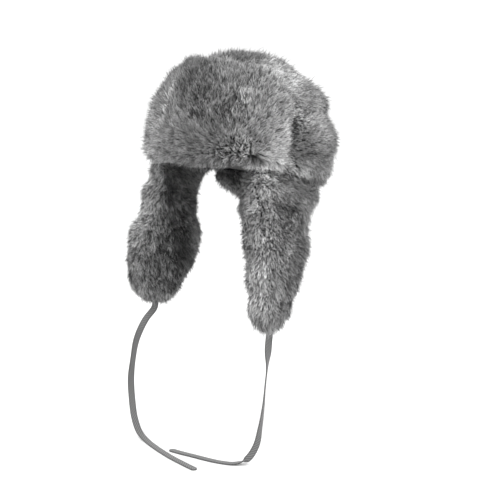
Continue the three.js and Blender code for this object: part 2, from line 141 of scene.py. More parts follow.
# Hairs of a lock, in metres, with the shares that stray or stand out as guard hairs
HAIRS_PER_LOCK = 4
HAIR_WIDTH = 0.00068
HAIR_WIDTH_SPREAD = 0.3
HAIR_BOW = 0.0006
HAIR_SCATTER = 0.0007
HAIR_ROLL = 0.8
LOCK_WIDTH = 0.0004
TIP_CLOSING = 0.5
STRAY_SHARE = 0.14
STRAY_SCATTER = 0.0022
STRAY_HEIGHT = 0.0035
GUARD_SHARE = 0.03
GUARD_HEIGHT = 0.007
GUARD_LEAN = 0.5
SHORTENING = 0.4
LEAST_RISE = 0.002

# Where a hair bends: share of its rise and of its way along
BEND_RISE = 0.74
BEND_ALONG = 0.36

# Unevenness: strength, features' size in metres and seed
BROAD_SWIRL = (0.45, 0.035, 3)
FINE_SWIRL = (0.45, 0.011, 5)
LENGTH_WAVES = (0.15, 0.02, 11)
LUMPS = (0.002, 0.024, 17)
SMALL_LUMPS = (0.0012, 0.008, 19)
STREAKS = (0.9, 0.0024, 23)

# Numbers that mix the noise's cell and seed
CELL_MIX = np.array([73856093, 19349663, 83492791])
SEED_MIX = 2654435
LAST_MIX = 1274126177

# How far the lie wanders from lock to lock, in radians, and how far streaks set a lock's tone
LOCK_SWIRL = 0.28
STREAK_SHARE = 0.55

# Shading: sideways tilt of a lock and of a hair, how far it turns with the hair, and how far it turns out
LOCK_TILT = 0.35
HAIR_TILT = 0.25
SHADING_TURN = 0.8
SHADING_OUTWARD = 0.3

# A hair's corners in its own cell of the map for baking
HAIR_CORNERS = [[0.5, 0.1], [0.2, 0.5], [0.8, 0.5], [0.5, 0.9]]
FIRST_COAT_SEED = 100

# Shell: how near corners are joined, in metres, the angles under which faces join, and a sharp rim's angle
SAME_PLACE = 1e-6
JOIN_ANGLE = 0.7
JOIN_SKEW = 3.1
RIM_ANGLE = 0.9
SHELL_ROUNDING = 2

# Ties, in metres, with the powers that shape the section's width and thickness
TIE_WIDTH = 0.010
TIE_THICKNESS = 0.002
TIE_RING_STEP = 0.002
TIE_SECTION_SIDES = 16
TIE_POWERS = (0.8, 0.35)
TIE_MIDDLE_THINNING = 0.35
TIE_END_RINGS = 7
TIE_END_NARROWEST = 0.0025
TIE_END_THINNEST = 0.6
TIE_RIB_STEP = 0.0044
TIE_THREAD_STEP = 0.0007
TIE_ROUTE_SAMPLES = 24


def turned(points, angle):
    """Places or directions turned about the X axis by an angle."""
    points = np.asarray(points, float)
    cosine, sine = math.cos(angle), math.sin(angle)
    x, y, z = points[..., 0], points[..., 1], points[..., 2]
    return np.stack([x, y * cosine - z * sine, y * sine + z * cosine], axis=-1)


def hat_axes(points):
    """World places or directions in the hat's own upright frame: x to its left, -y to its front, z up."""
    return turned(points, BACKWARD_TILT)


def world_axes(points):
    """The way back from the hat's own frame."""
    return turned(points, -BACKWARD_TILT)


def unit(vectors):
    """Vectors at length one."""
    length = norm(vectors, axis=-1, keepdims=True)
    return vectors / np.maximum(length, 1e-9)


def smoothstep(values, low, high):
    """0 below low, 1 above high, and a smooth rise between."""
    share = np.clip((values - low) / (high - low), 0, 1)
    return share * share * (3 - 2 * share)


def smooth_noise(points, size, seed):
    """Seeded value noise from -1 to 1 at each point, with features about size across."""
    cell = np.asarray(points, float) / size + 100.0
    base = np.floor(cell).astype(np.int64)
    part = smoothstep(cell - base, 0, 1)
    total = np.zeros(len(base))
    for corner in range(8):
        step = np.array([corner & 1, corner >> 1 & 1, corner >> 2 & 1])
        x, y, z = ((base + step) * CELL_MIX).T
        mixed = x ^ y ^ z ^ (seed * SEED_MIX)
        mixed = (mixed ^ (mixed >> 13)) * LAST_MIX & 0x7FFFFFFF
        mixed = (mixed ^ (mixed >> 16)) & 0xFFFF
        weight = np.prod(np.where(step, part, 1 - part), axis=1)
        total += weight * (mixed / 32767.5 - 1)
    return total


def uneven(places, setting):
    """Waves at each place, by a strength, the size of their features and a seed."""
    strength, size, seed = setting
    return strength * smooth_noise(places, size, seed)


def placed(name, data):
    """A new object in the scene."""
    obj = bpy.data.objects.new(name, data)
    scene.collection.objects.link(obj)
    return obj


def new_object(name, verts, faces):
    """A mesh object from arrays of places and faces."""
    mesh = bpy.data.meshes.new(name)
    mesh.from_pydata([tuple(v) for v in verts], [], [tuple(f) for f in faces])
    mesh.validate()
    mesh.polygons.foreach_set("use_smooth", [True] * len(mesh.polygons))
    return placed(name, mesh)


# Camera, floor and light

def view_axes():
    """Right, up and back directions of the camera."""
    azimuth, elevation = CAMERA_AZIMUTH, CAMERA_ELEVATION
    back = Vector((math.sin(azimuth) * math.cos(elevation),
                   -math.cos(azimuth) * math.cos(elevation), math.sin(elevation)))
    right = Vector((math.cos(azimuth), math.sin(azimuth), 0))
    return right, back.cross(right), back


def make_camera():
    right, up, back = view_axes()
    half = IMAGE_PIXELS / 2
    rightward = right * (half - ORIGIN_PIXEL[0]) * METRES_PER_PIXEL
    upward = up * (ORIGIN_PIXEL[1] - half) * METRES_PER_PIXEL
    data = bpy.data.cameras.new("camera")
    data.sensor_width = SENSOR_WIDTH
    data.lens = SENSOR_WIDTH * CAMERA_DISTANCE / (IMAGE_PIXELS * METRES_PER_PIXEL)
    data.clip_end = FARTHEST_SEEN
    camera = placed("camera", data)
    camera.location = rightward + upward + back * CAMERA_DISTANCE
    camera.rotation_euler = back.to_track_quat("Z", "Y").to_euler()
    scene.camera = camera


def area_light(name, place, power, size):
    """A square light that faces the hat's middle."""
    data = bpy.data.lights.new(name, "AREA")
    data.energy = power
    data.size = size
    light = placed(name, data)
    light.location = place
    light.rotation_euler = (place - LIGHTS_AIM).to_track_quat("Z", "Y").to_euler()


def make_studio():
    floor_height = cad_low.z
    turns = [2 * math.pi * step / FLOOR_SIDES for step in range(FLOOR_SIDES)]
    ring = [(FLOOR_RADIUS * math.cos(turn), FLOOR_RADIUS * math.sin(turn), floor_height) for turn in turns]
    floor = new_object("floor", ring, [range(FLOOR_SIDES)])
    material = bpy.data.materials.new("floor_paper")
    material.use_nodes = True
    shader = material.node_tree.nodes["Principled BSDF"]
    shader.inputs["Base Color"].default_value = (FLOOR_GREY, FLOOR_GREY, FLOOR_GREY, 1)
    shader.inputs["Roughness"].default_value = 0.9
    floor.data.materials.append(material)
    world = bpy.data.worlds.new("world")
    world.use_nodes = True
    background = world.node_tree.nodes["Background"]
    background.inputs["Color"].default_value = (1, 1, 1, 1)
    background.inputs["Strength"].default_value = WORLD_BRIGHTNESS
    scene.world = world
    right, _, back = view_axes()
    for name, (rightward, backward, height, power, size) in LIGHTS.items():
        area_light(name, right * rightward + back * backward + Vector((0, 0, height)), power, size)
    scene.view_settings.view_transform = "Standard"
    scene.view_settings.exposure = EXPOSURE


# Materials

def node_maker(material):
    """A short way to add nodes and link them: make(kind, settings, inputs) returns the node."""
    tree = material.node_tree

    def make(kind, settings=None, inputs=None):
        node = tree.nodes.new(kind)
        for key, value in (settings or {}).items():
            setattr(node, key, value)
        for key, value in (inputs or {}).items():
            socket = node.inputs[key]
            if isinstance(value, bpy.types.NodeSocket):
                tree.links.new(value, socket)
            else:
                socket.default_value = value
        return node
    return make


def blank_material(name, roughness, specular, sheen=0.0):
    """A material, and ways to add nodes to it and to link a value to its shader."""
    material = bpy.data.materials.new(name)
    material.use_nodes = True
    shader = material.node_tree.nodes["Principled BSDF"]
    shader.inputs["Roughness"].default_value = roughness
    shader.inputs["Specular IOR Level"].default_value = specular
    shader.inputs["Sheen Weight"].default_value = sheen

    def link(value, socket):
        material.node_tree.links.new(value, shader.inputs[socket])
    return material, node_maker(material), link


def noise(make, place, scale, detail):
    return make("ShaderNodeTexNoise", {}, {"Vector": place, "Scale": scale, "Detail": detail}).outputs["Fac"]


def bumped(make, height, strength, depth):
    inputs = {"Height": height, "Strength": strength, "Distance": depth}
    return make("ShaderNodeBump", {}, inputs).outputs["Normal"]


def ramp(make, factor, stops):
    """A grey ramp through (place, grey) stops."""
    node = make("ShaderNodeValToRGB", inputs={"Fac": factor})
    elements = node.color_ramp.elements
    elements.remove(elements[1])
    elements[0].position = stops[0][0]
    elements[0].color = (stops[0][1], stops[0][1], stops[0][1], 1)
    for place, grey in stops[1:]:
        elements.new(place).color = (grey, grey, grey, 1)
    return node.outputs["Color"]


def math_node(make, operation, *values):
    return make("ShaderNodeMath", {"operation": operation}, dict(enumerate(values))).outputs[0]


def varied(make, value, contrast):
    """A factor about one that follows a value about a half."""
    return math_node(make, "MULTIPLY_ADD", value, contrast, 1 - contrast / 2)


def mixed(make, factor, first, second, blend="MIX"):
    """Two colours blended. The node's colour sockets are reached by number, for its names repeat."""
    settings = {"data_type": "RGBA", "blend_type": blend}
    return make("ShaderNodeMix", settings, {0: factor, 6: first, 7: second}).outputs[2]


def fur_material():
    """Ticked grey fur: dark roots, partly slate and partly painted shade, pale shafts, some dark tips,
    patches of tone, and painted light and shade from the coat's zones.
    """
    material, make, link = blank_material("grey_fur", 0.6, 0.25, 0.1)
    names = ("along", "strand", "lock", "tuft", "zone", "ticking")
    along, strand, lock, tuft, zone, ticking = [
        make("ShaderNodeAttribute", {"attribute_name": name}).outputs["Fac"] for name in names]
    silkiness = ramp(make, ticking, SILKY_BY_TICKING)
    pale = mixed(make, silkiness, ramp(make, along, PALE_HAIR), ramp(make, along, SILKY_HAIR))
    dark = ramp(make, along, DARK_HAIR)
    by_lock = math_node(make, "MULTIPLY", lock, DARK_BY_LOCK)
    which = math_node(make, "MULTIPLY_ADD", strand, 1 - DARK_BY_LOCK, by_lock)
    threshold = math_node(make, "MULTIPLY_ADD", ticking, DARK_SHARE_BY_TICKING, DARK_SHARE)
    is_dark = ramp(make, math_node(make, "SUBTRACT", threshold, which), [(0.0, 0.0), (DARK_EDGE, 1.0)])
    hair = mixed(make, is_dark, pale, dark)
    place = make("ShaderNodeTexCoord").outputs["Object"]
    patches = noise(make, place, PATCH_SCALE, 3.0)
    spread = math_node(make, "MULTIPLY", math_node(make, "SUBTRACT", lock, 0.5), ticking)
    lock_tone = math_node(make, "MULTIPLY_ADD", spread, LOCK_CONTRAST, 1.0)
    tone = math_node(make, "MULTIPLY", varied(make, patches, PATCH_CONTRAST), lock_tone)
    tone = math_node(make, "MULTIPLY", tone, varied(make, tuft, TUFT_CONTRAST))
    # The zones' tone: partly the fur's own patches and partly painted light and shade
    tone = math_node(make, "MULTIPLY", tone, zone)
    link(mixed(make, 1.0, hair, tone, "MULTIPLY"), "Base Color")
    return material


def hide_material():
    """The dense dark underfur that shows between the locks, near black: partly the underfur's own grey and
    partly painted shade deep in the coat.
    """
    material, make, link = blank_material("underfur_and_painted_shade", 0.9, 0.1)
    place = make("ShaderNodeTexCoord").outputs["Object"]
    grain = noise(make, place, HIDE_GRAIN_SCALE, 4.0)
    link(ramp(make, grain, [(0.3, 0.012), (0.7, 0.05)]), "Base Color")
    link(bumped(make, grain, 0.6, 0.001), "Normal")
    return material


def suede_material():
    """Plain grey suede inside the crown, with a short nap."""
    material, make, link = blank_material("grey_suede", 0.85, 0.2, 0.3)
    place = make("ShaderNodeTexCoord").outputs["Object"]
    nap = noise(make, place, NAP_SCALE, 5.0)
    brushed = noise(make, place, BRUSHED_SCALE, 3.0)
    tone = math_node(make, "MULTIPLY_ADD", nap, 0.5, math_node(make, "MULTIPLY", brushed, 0.5))
    link(ramp(make, tone, [(0.3, 0.1), (0.7, 0.17)]), "Base Color")
    link(bumped(make, nap, 0.5, 0.0005), "Normal")
    return material


def tie_material():
    """Grey woven tape with a diagonal rib. Its UVs run in metres, across and along."""
    material, make, link = blank_material("grey_tape", 0.75, 0.25, 0.2)
    uv = make("ShaderNodeUVMap", {"uv_map": "tape"}).outputs["UV"]
    parts = make("ShaderNodeSeparateXYZ", {}, {"Vector": uv})
    across, along = parts.outputs["X"], parts.outputs["Y"]
    diagonal = math_node(make, "ADD", across, along)
    rib = math_node(make, "SINE", math_node(make, "MULTIPLY", diagonal, 2 * math.pi / TIE_RIB_STEP))
    thread = math_node(make, "SINE", math_node(make, "MULTIPLY", along, 2 * math.pi / TIE_THREAD_STEP))
    weave = math_node(make, "MULTIPLY_ADD", thread, 0.2, rib)
    fibre = noise(make, uv, FIBRE_SCALE, 4.0)
    tone = math_node(make, "MULTIPLY_ADD", weave, 0.22, fibre)
    body = ramp(make, tone, [(0.2, 0.085), (0.8, 0.24)])
    from_middle = math_node(make, "MULTIPLY", math_node(make, "ABSOLUTE", across), 2 / TIE_WIDTH)
    edge = ramp(make, from_middle, [(0.6, 1.0), (0.95, 0.55)])
    link(mixed(make, 1.0, body, edge, "MULTIPLY"), "Base Color")
    link(bumped(make, weave, 0.7, 0.0004), "Normal")
    return material


# Ties: each follows the same points as its solid, in metres, with the heading of its width in degrees

TIE_ROUTES = {
    "left": [
        (0.104, -0.0874, -0.3217, 20), (0.104, -0.0898, -0.3314, 20), (0.104, -0.092, -0.346, 35),
        (0.103, -0.093, -0.375, 110), (0.101, -0.095, -0.405, 120), (0.100, -0.098, -0.435, 110),
        (0.099, -0.104, -0.465, 90), (0.098, -0.112, -0.490, 60), (0.092, -0.124, -0.507, 50),
        (0.080, -0.136, -0.513, 120), (0.060, -0.144, -0.514, 100), (0.036, -0.148, -0.514, 95),
        (0.022, -0.149, -0.514, 92), (0.010, -0.150, -0.514, 90), (-0.014, -0.152, -0.514, 90),
        (-0.029, -0.152, -0.514, 90),
    ],
    "right": [
        (-0.112, -0.0864, -0.3178, 20), (-0.1124, -0.0889, -0.3275, 20), (-0.122, -0.099, -0.346, 22),
        (-0.131, -0.109, -0.375, 60), (-0.1345, -0.114, -0.405, 80), (-0.134, -0.120, -0.435, 60),
        (-0.127, -0.126, -0.465, 40), (-0.116, -0.133, -0.490, 40), (-0.100, -0.140, -0.507, 60),
        (-0.080, -0.147, -0.513, 70), (-0.058, -0.156, -0.514, 70), (-0.034, -0.165, -0.514, 70),
        (-0.022, -0.169, -0.514, 70), (-0.010, -0.173, -0.514, 70), (0.018, -0.180, -0.514, 70),
        (0.049, -0.187, -0.514, 70),
    ],
}


def hermite(part, start, end, slope_in, slope_out):
    square = part * part
    cube = square * part
    return ((2 * cube - 3 * square + 1) * start + (cube - 2 * square + part) * slope_in
            + (3 * square - 2 * cube) * end + (cube - square) * slope_out)


def route_curve(route):
    """Dense places and headings along a route: a smooth curve through its points."""
    points = np.array([row[:3] for row in route])
    turns = np.array([row[3] for row in route], float)
    padded = np.vstack([2 * points[0] - points[1], points, 2 * points[-1] - points[-2]])
    padded_turns = np.concatenate([turns[:1], turns, turns[-1:]])
    places, headings = [], []
    for index in range(len(points) - 1):
        a, b, c, d = padded[index:index + 4]
        first, middle, last = [max(norm(q - p) ** 0.5, 1e-6) for p, q in ((a, b), (b, c), (c, d))]
        slope_in = ((b - a) / first - (c - a) / (first + middle) + (c - b) / middle) * middle
        slope_out = ((c - b) / middle - (d - b) / (middle + last) + (d - c) / last) * middle
        e, f, g, h = padded_turns[index:index + 4]
        for part in np.arange(TIE_ROUTE_SAMPLES) / TIE_ROUTE_SAMPLES:
            places.append(hermite(part, b, c, slope_in, slope_out))
            headings.append(hermite(part, f, g, (g - e) / 2, (h - f) / 2))
    places.append(points[-1])
    headings.append(turns[-1])
    return np.array(places), np.array(headings)


def make_tie(side, material):
    """A tape that twists as it hangs and lies flat on the floor, with a round end."""
    places, headings = route_curve(TIE_ROUTES[side])
    half = TIE_WIDTH / 2
    steps = norm(np.diff(places, axis=0), axis=1)
    travelled = np.concatenate([[0], np.cumsum(steps)])
    length = travelled[-1]
    count = int(length / TIE_RING_STEP) + 1
    end_round = half * (1 - np.cos(np.linspace(0, math.pi / 2, TIE_END_RINGS)))
    stops = np.concatenate([np.linspace(0, length - half, count), length - end_round[::-1][1:]])
    centres = np.stack([np.interp(stops, travelled, places[:, axis]) for axis in range(3)], axis=1)
    turns = np.radians(np.interp(stops, travelled, headings))
    tangents = unit(np.gradient(centres, stops, axis=0))
    widths = np.stack([np.cos(turns), np.sin(turns), np.zeros(len(turns))], axis=1)
    widths = unit(widths - tangents * np.sum(widths * tangents, axis=1, keepdims=True))
    faces_out = np.cross(widths, tangents)
    from_end = np.clip((length - stops) / half, 0, 1)
    narrowing = np.sqrt(np.clip(1 - (1 - from_end) ** 2, TIE_END_NARROWEST, 1))
    angles = 2 * math.pi * (np.arange(TIE_SECTION_SIDES) + 0.5) / TIE_SECTION_SIDES
    across = np.sign(np.sin(angles)) * np.abs(np.sin(angles)) ** TIE_POWERS[0] * half
    through = np.sign(np.cos(angles)) * np.abs(np.cos(angles)) ** TIE_POWERS[1] * TIE_THICKNESS / 2
    thinned = 1 - TIE_MIDDLE_THINNING * (1 - np.abs(across) / half) ** 2
    verts = []
    for centre, width, out, narrow in zip(centres, widths, faces_out, narrowing):
        thin = max(narrow, TIE_END_THINNEST)
        for sideways, outward, share in zip(across, through, thinned):
            verts.append(centre + width * sideways * narrow + out * outward * share * thin)
    faces = []
    rings, sides = len(centres), TIE_SECTION_SIDES
    for ring in range(rings - 1):
        for step in range(sides):
            following = (step + 1) % sides
            faces.append((ring * sides + step, ring * sides + following,
                          (ring + 1) * sides + following, (ring + 1) * sides + step))
    faces.append(tuple(range(sides))[::-1])
    faces.append(tuple((rings - 1) * sides + step for step in range(sides)))
    tape = new_object("tie_" + side + "_tape", verts, faces)
    uv_map = tape.data.uv_layers.new(name="tape")
    for loop in tape.data.loops:
        ring, step = divmod(loop.vertex_index, sides)
        uv_map.data[loop.index].uv = (float(across[step]), float(stops[ring]))
    tape.data.materials.append(material)
    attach(tape, "root")
    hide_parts("tie_" + side)


# Hides

def other_solids(node):
    """One search tree of every solid but the node's own and the ties."""
    verts, faces = [], []
    for name, obj in nodes.items():
        if name == node or name.startswith("tie"):
            continue
        base = len(verts)
        verts += [v.co[:] for v in obj.data.vertices]
        faces += [[base + index for index in polygon.vertices] for polygon in obj.data.polygons]
    return BVHTree.FromPolygons(verts, faces)


def threes(items, name, kind):
    """What each vertex or triangle of a mesh holds, in rows of three."""
    values = np.empty(len(items) * 3, kind)
    items.foreach_get(name, values)
    return values.reshape(-1, 3)


class Skin:
    """A fur node's outer form, evenly meshed, and the hide that lies under it by the fur's depth."""

    def __init__(self, node):
        self.node = node
        copy = placed("copy", nodes[node].data.copy())
        remesh = copy.modifiers.new("remesh", "REMESH")
        remesh.mode = "VOXEL"
        remesh.voxel_size = SKIN_VOXEL
        soften = copy.modifiers.new("soften", "SMOOTH")
        soften.factor = 0.5
        soften.iterations = SKIN_SOFTENING
        triangulate = copy.modifiers.new("triangulate", "TRIANGULATE")
        triangulate.quad_method = "FIXED"
        mesh = bpy.data.meshes.new_from_object(copy.evaluated_get(bpy.context.evaluated_depsgraph_get()))
        bpy.data.objects.remove(copy)
        self.outer = threes(mesh.vertices, "co", np.float32).astype(float)
        self.normals = unit(threes(mesh.vertices, "normal", np.float32).astype(float))
        self.faces = threes(mesh.polygons, "vertices", np.int32)
        bpy.data.meshes.remove(mesh)
        self.tree = BVHTree.FromPolygons(self.outer.tolist(), self.faces.tolist())
        self.others = other_solids(node)
        self.depth = self.fur_depth()
        self.inner = self.outer - self.normals * self.depth[:, None]

    def fur_depth(self):
        """The fur's depth at each vertex: less where the piece is thin or meets another."""
        depth = np.full(len(self.outer), FUR_DEPTH)
        for index, (place, normal) in enumerate(zip(self.outer, self.normals)):
            inward = Vector(-normal)
            _, _, _, distance = self.tree.ray_cast(Vector(place) + inward * OFF_SURFACE, inward, THICKEST)
            if distance is not None:
                depth[index] = min(FUR_DEPTH, THIN_SHARE * distance)
        edges = np.vstack([self.faces[:, [0, 1]], self.faces[:, [1, 2]], self.faces[:, [2, 0]]])
        for _ in range(DEPTH_SMOOTHING):
            total = depth.copy()
            shares = np.ones(len(depth))
            for one, other in ((0, 1), (1, 0)):
                np.add.at(total, edges[:, one], depth[edges[:, other]])
                np.add.at(shares, edges[:, one], 1)
            depth = total / shares
        seam = np.array([self.others.find_nearest(Vector(place))[3] for place in self.outer])
        return SEAM_DEPTH + (depth - SEAM_DEPTH) * smoothstep(seam, SEAM_NEAR, SEAM_FAR)


def make_hide(skin, material):
    hide = new_object(skin.node + "_hide", skin.inner, skin.faces)
    hide.data.materials.append(material)
    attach(hide, "root")
    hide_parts(skin.node)


# Lie of the fur: each function gives a direction in the hat's frame for places in it, in metres

# Front flap, in metres and radians: its level whorl by angle and height, and how the hair bends about it
FLAP_RADIUS = 0.135
WHORL = (math.radians(37), -0.109)
WHORL_DROP = 0.008
WHORL_SPREAD = 0.035
WHORL_REACH = 0.03
WHORL_STRETCH = 0.6
WHORL_CURL = 0.09
WHORL_CURL_SIZES = (0.0038, 0.0015)
WHORL_SEED = 31

# Above the whorl the fur on its right goes less sideways, and beyond the parting outward again
ABOVE_WHORL = (0.015, 0.05)
LESS_SIDEWAYS = 0.72
PARTING_ANGLE = math.radians(-19)
PARTING_BLEND = (-0.05, 0.1)
BEYOND_PARTING = 1.1

# The flap's lower edge, where the fur turns down
EDGE_DROP = 0.12
EDGE_BAND = 0.012
BROW_EDGE = -0.124
OVER_EARS_EDGE = -0.112
OVER_EARS_ANGLE = 0.62

# Crown: heights, depths and angles over which its lie turns, and shares of each direction
CROWN_RADIUS = 0.12
TOP_HEIGHTS = (0.005, 0.035)
BACK_ANGLES = (1.5, 2.6)
LOW_DEPTHS = (0.07, 0.115)
LIP_DEPTHS = (0.1, 0.12)
BACKWARD = {"side": 1.1, "less behind": 0.8, "less at lip": 0.7}
DOWNWARD = {"side": -0.1, "behind": 1.1, "low": 0.8, "at lip": 0.6}
TOP_FAN = 0.55

# Ear flaps: the ridge from which the fur fans out to the front and back, and how it narrows lower down
EAR_RIDGE = -0.055
EAR_HALF_WIDTH = 0.04
EAR_FANS = {"front": 1.1, "back": 0.25}
EAR_FARTHEST = (-1, 1.5)
EAR_NARROWING = 0.65
EAR_NARROWS = (0.18, 0.26)

# Where the lie is this weak the hairs stand up, with this much lean left
UPRIGHT_BELOW = 0.035
LEAST_LEAN = 0.25


def plan_angle(places):
    """How far round from the front a place lies, positive towards the wearer's left."""
    return np.arctan2(places[:, 0], -places[:, 1])


def round_about(angles):
    """The level direction round the hat, growing towards the wearer's left."""
    return np.stack([np.cos(angles), np.sin(angles), np.zeros(len(angles))], axis=1)


def front_lie(places):
    """Away from a level whorl low on the left of the flap, and outward beyond a parting on its right."""
    angles = plan_angle(places)
    sideways = (angles - WHORL[0]) * FLAP_RADIUS
    upward = places[:, 2] - WHORL[1] + WHORL_DROP
    beyond = sideways * smoothstep(np.abs(sideways), 0, WHORL_SPREAD)
    high = smoothstep(upward, *ABOVE_WHORL)
    share = np.where(sideways > 0, 1.0, 1.0 - LESS_SIDEWAYS * high)
    parted = smoothstep(PARTING_ANGLE - angles, *PARTING_BLEND)
    beyond = beyond * (share + (BEYOND_PARTING - share) * parted)
    lie = round_about(angles) * beyond[:, None]
    lie[:, 2] += upward
    edge = np.where(np.abs(angles) > OVER_EARS_ANGLE, OVER_EARS_EDGE, BROW_EDGE)
    lie[:, 2] -= EDGE_DROP * smoothstep(places[:, 2] - edge, EDGE_BAND, 0)
    curls = np.exp(-(np.hypot(sideways * WHORL_STRETCH, upward) / WHORL_REACH) ** 2)
    for axis in range(3):
        for size in WHORL_CURL_SIZES:
            lie[:, axis] += WHORL_CURL * curls * smooth_noise(places, size, WHORL_SEED + axis)
    return lie


def crown_lie(places):
    """Back over the top and back along the sides, then down towards the lip and the back."""
    angles = plan_angle(places)
    backward = round_about(angles) * np.sign(angles)[:, None]
    on_top = smoothstep(places[:, 2], *TOP_HEIGHTS)[:, None]
    behind = smoothstep(np.abs(angles), *BACK_ANGLES)[:, None]
    low = smoothstep(-places[:, 2], *LOW_DEPTHS)[:, None]
    lip = smoothstep(-places[:, 2], *LIP_DEPTHS)[:, None]
    level = (BACKWARD["side"] - BACKWARD["less behind"] * behind) * (1 - BACKWARD["less at lip"] * lip)
    lower = DOWNWARD["behind"] * np.maximum(behind, low * DOWNWARD["low"]) + DOWNWARD["at lip"] * lip
    side = backward * level + np.array([0, 0, -1.0]) * (DOWNWARD["side"] + lower)
    outward = np.stack([places[:, 0], places[:, 1], np.zeros(len(places))], axis=1) / CROWN_RADIUS
    top = np.array([0, 1.0, 0]) + outward * TOP_FAN
    return side * (1 - on_top) + top * on_top


def neck_lie(places):
    """Straight down."""
    return np.tile([0, 0, -1.0], (len(places), 1))


def ear_lie(places):
    """Down the flap, and outward to its front and back edges."""
    lie = neck_lie(places)
    from_ridge = (places[:, 1] - EAR_RIDGE) / EAR_HALF_WIDTH
    narrowed = 1 - EAR_NARROWING * smoothstep(-places[:, 2], *EAR_NARROWS)
    fan = np.where(from_ridge < 0, EAR_FANS["front"], EAR_FANS["back"])
    lie[:, 1] += fan * np.clip(from_ridge, *EAR_FARTHEST) * narrowed
    return lie


# Coats of fur: name, the node they grow on, which part of it, and the lie of the hair
COATS = [
    ("front_flap_fur", "front_flap", None, front_lie),
    ("crown_top_fur", "crown_fur", "top", crown_lie),
    ("crown_left_fur", "crown_fur", "left", crown_lie),
    ("crown_right_fur", "crown_fur", "right", crown_lie),
    ("ear_flap_left_fur", "ear_flap_left", None, ear_lie),
    ("ear_flap_right_fur", "ear_flap_right", None, ear_lie),
    ("neck_flap_fur", "neck_flap", None, neck_lie),
]
CROWN_TOP_HEIGHT = -0.008


def in_part(places, part):
    """Whether places, in the hat's frame, belong to a coat's part of its node."""
    top, left = places[:, 2] > CROWN_TOP_HEIGHT, places[:, 0] >= 0
    parts = {None: np.ones(len(places), bool), "top": top, "left": ~top & left, "right": ~top & ~left}
    return parts[part]


# Tones of the coat, partly the fur's own patches and partly painted light and shade: place in the hat's
# frame and reach in mm, tone, ticking
PAINTED_LIGHT_SHADE_AND_TONE_ZONES = [
    # Front flap
    ("front, top", (3, -124, -2), 26, 0.46, 2.4),
    ("front, high", (25, -131, -30), 20, 0.62, 2.4),
    ("top", (45, -104, 8), 18, 0.9, 0.9),
    ("middle", (60, -124, -45), 18, 0.95, 1.9),
    ("smooth patch", (66, -128, -78), 10, 0.95, 0.3),
    ("right end", (-44, -129, -50), 16, 1.05, 0.8),
    ("below the parting", (-50, -131, -95), 18, 0.95, 0.6),
    ("front, low", (0, -140, -105), 24, 0.75, 0.5),
    ("front, low left", (35, -138, -95), 20, 0.78, 0.8),
    ("whorl", (78, -120, -104), 14, 1.15, 2.6),
    ("left", (97, -87, -35), 20, 1.25, 1.0),
    ("end, high", (112, -58, -25), 14, 1.35, 0.6),
    ("end, middle", (119, -56, -60), 16, 1.8, 0.5),
    ("end, low", (118, -66, -95), 18, 2.0, 0.5),
    # Crown
    ("behind the flap", (25, -55, 41), 20, 0.55, 0.9),
    ("top, front left", (60, -42, 29), 18, 2.1, 0.0),
    ("top, left", (85, -20, 14), 18, 1.8, 0.2),
    ("side, high", (95, 15, 2), 20, 1.15, 0.7),
    ("recess", (107, -16, -50), 14, 1.85, 2.2),
    ("side", (125, 12, -50), 20, 1.25, 0.6),
    ("lip", (118, -8, -106), 12, 1.35, 0.7),
    # Left ear flap
    # Painted light: the flap's top and shoulder are lightened where the front flap shades them
    ("top", (112, -70, -142), 24, 1.9, 0.2),
    ("shoulder", (104, -76, -124), 14, 2.2, 0.5),
    ("front", (103, -95, -185), 18, 1.05, 0.9),
    ("outer", (127, -32, -175), 22, 0.85, 1.8),
    ("rear", (127, 10, -155), 14, 1.05, 0.6),
    ("ridge", (127, -74, -235), 18, 1.6, 1.2),
    ("middle", (133, -42, -240), 24, 1.25, 1.5),
    ("low ridge", (124, -55, -300), 16, 1.45, 1.2),
    ("low rear", (122, -10, -270), 22, 0.9, 1.1),
    # Right ear flap
    ("front edge", (-112, -74, -215), 26, 1.55, 1.1),
    ("low front", (-112, -62, -290), 20, 1.0, 1.1),
    # Painted shade: the middle, back and low zones are darkened with the shade a head inside would cast on
    # the flap's inner face
    ("middle", (-80, -48, -225), 24, 0.85, 2.4),
    ("back", (-74, -18, -190), 24, 0.7, 2.4),
    ("low", (-88, -28, -290), 22, 0.62, 2.4),
    ("top", (-86, -74, -150), 16, 1.15, 1.5),
]

